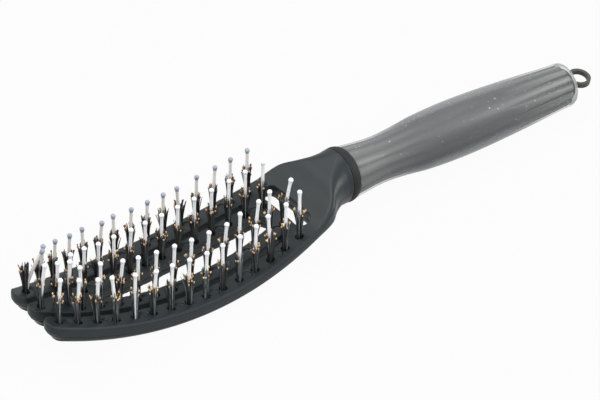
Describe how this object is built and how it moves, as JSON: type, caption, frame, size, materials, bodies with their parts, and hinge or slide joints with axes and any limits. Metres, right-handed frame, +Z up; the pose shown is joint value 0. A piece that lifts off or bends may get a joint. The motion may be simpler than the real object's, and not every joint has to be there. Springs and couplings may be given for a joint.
{
  "type": "vented finger hair brush",
  "caption": "Curved vented hair brush with three long fingers, ball-tipped pins in bristle tufts, a waisted grip and a swivelling hang loop.",
  "frame": {"origin": "middle of the brush's own box in length and width, on the surface that the brush lies on with its bristles up", "axes": "+X from the finger tips to the hang loop, +Y to the left finger seen from the grip, +Z up, the way the bristles point"},
  "size_m": [0.221, 0.0392, 0.0315],
  "materials": {
    "head_plastic": "satin moulded",
    "collar_plastic": "matt",
    "core_plastic": "fluted, seen through the skin",
    "skin_plastic": "clear smoky",
    "loop_plastic": "matt",
    "bristle": "stiff bristle",
    "pin_nylon": "white nylon",
    "wire": "drawn wire"
  },
  "bodies": {
    "brush": {"front_plate": "head_plastic", "back_cover": "head_plastic", "collar_ring": "collar_plastic", "grip_core": "core_plastic", "grip_skin": "skin_plastic", "tang_dowel": "wire", "end_plug": "core_plastic", "left_finger_tufts": "bristle", "left_finger_pins": "pin_nylon", "left_finger_anchors": "wire", "middle_left_tufts": "bristle", "middle_left_pins": "pin_nylon", "middle_left_anchors": "wire", "middle_tip_tufts": "bristle", "middle_tip_pins": "pin_nylon", "middle_tip_anchors": "wire", "middle_right_tufts": "bristle", "middle_right_pins": "pin_nylon", "middle_right_anchors": "wire", "right_finger_tufts": "bristle", "right_finger_pins": "pin_nylon", "right_finger_anchors": "wire"},
    "loop": {"hang_loop": "loop_plastic", "loop_retainer": "loop_plastic"}
  },
  "joints": [
    {"name": "loop_swivel", "type": "hinge", "parent": "brush", "child": "loop", "pos_m": [0.09642, 0, 0.00767], "axis": [0.9985, 0, -0.0552], "continuous": true}
  ]
}
